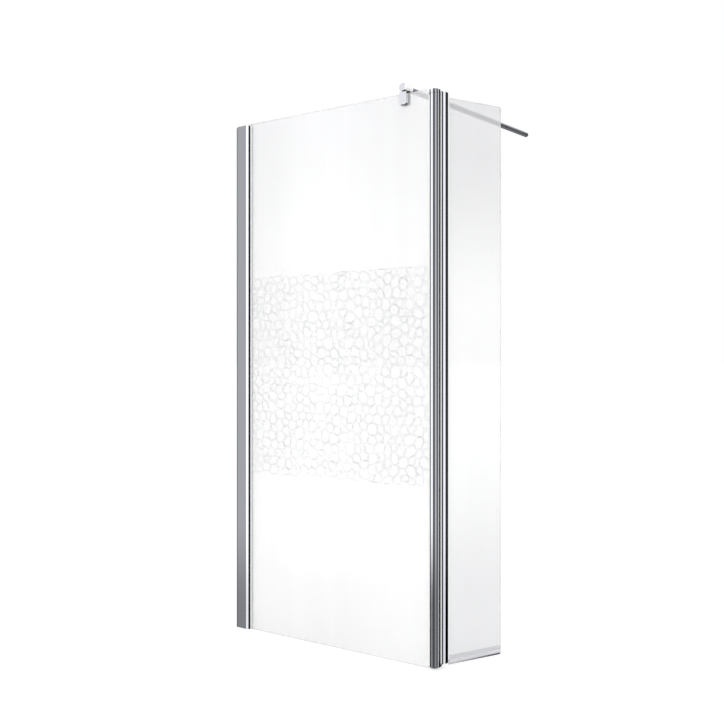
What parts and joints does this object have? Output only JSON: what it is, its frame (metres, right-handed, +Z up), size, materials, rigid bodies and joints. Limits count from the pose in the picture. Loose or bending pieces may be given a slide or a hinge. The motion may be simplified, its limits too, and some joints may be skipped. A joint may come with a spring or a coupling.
{
  "type": "walk-in shower screen",
  "caption": "Fixed glass shower screen in an adjustable wall profile, with a round corner post, a swinging glass flipper panel and a stabiliser bar clamped to the top edge.",
  "frame": {"origin": "on the wall plane, at the middle of the glass thickness, at the tray", "axes": "+X along the fixed pane away from the wall, +Y into the shower, +Z up"},
  "size_m": [0.9891, 0.874, 1.932],
  "materials": {
    "bright_aluminium": "polished and bright anodised",
    "chromed_zinc": "die cast zinc, chrome plated",
    "chromed_steel_tube": "steel tube, chrome plated",
    "chromed_plastic": "chrome-look plastic",
    "stainless_steel": "turned",
    "toughened_glass": "clear, polished edges; pebble band printed on the fixed pane",
    "clear_pvc": "clear flexible",
    "acetal": "white, moulded",
    "liner_rubber": "pale, soft",
    "black_plastic": "moulded"
  },
  "bodies": {
    "wall_channel": {"wall_profile": "bright_aluminium"},
    "fixed_panel": {"carrier_profile": "bright_aluminium", "carrier_cap_top": "chromed_plastic", "lock_screws": "stainless_steel", "lock_nuts": "stainless_steel", "lock_covers": "chromed_plastic", "main_glass": "toughened_glass", "carrier_glazing_strips": "clear_pvc", "corner_post": "bright_aluminium", "post_glazing_strips": "clear_pvc", "post_plug_bottom": "chromed_zinc", "post_plug_top": "chromed_zinc", "hinge_bush_bottom": "acetal", "hinge_bush_top": "acetal", "clamp_body": "chromed_zinc", "clamp_liner": "liner_rubber", "clamp_screws": "stainless_steel", "swivel_pin": "stainless_steel", "swivel_washer": "acetal"},
    "flipper": {"top_pivot_cap": "chromed_zinc", "bottom_pivot_arm": "chromed_zinc", "hinge_pin_top": "stainless_steel", "hinge_pin_bottom": "stainless_steel", "pivot_screw_top": "stainless_steel", "pivot_screw_bottom": "stainless_steel", "flipper_profile": "bright_aluminium", "flipper_wiper_strips": "clear_pvc", "flipper_glass": "toughened_glass", "glass_setting_block": "acetal", "flipper_glazing_strips": "clear_pvc", "flipper_drip_seal": "clear_pvc"},
    "bar": {"bar_holder": "chromed_zinc", "holder_screws": "stainless_steel", "stabiliser_bar": "chromed_steel_tube", "bar_end_plug": "black_plastic"}
  },
  "joints": [
    {"name": "wall_adjust", "type": "slide", "parent": "wall_channel", "child": "fixed_panel", "axis": [1, 0, 0], "range_m": [-0.005, 0.015]},
    {"name": "flipper_hinge", "type": "hinge", "parent": "fixed_panel", "child": "flipper", "pos_m": [0.885, 0, 0], "axis": [0, 0, 1], "range_deg": [-160, 20]},
    {"name": "bar_swivel", "type": "hinge", "parent": "fixed_panel", "child": "bar", "pos_m": [0.7675, 0, 1.919], "axis": [0, 0, 1], "range_deg": [-45, 45]}
  ]
}
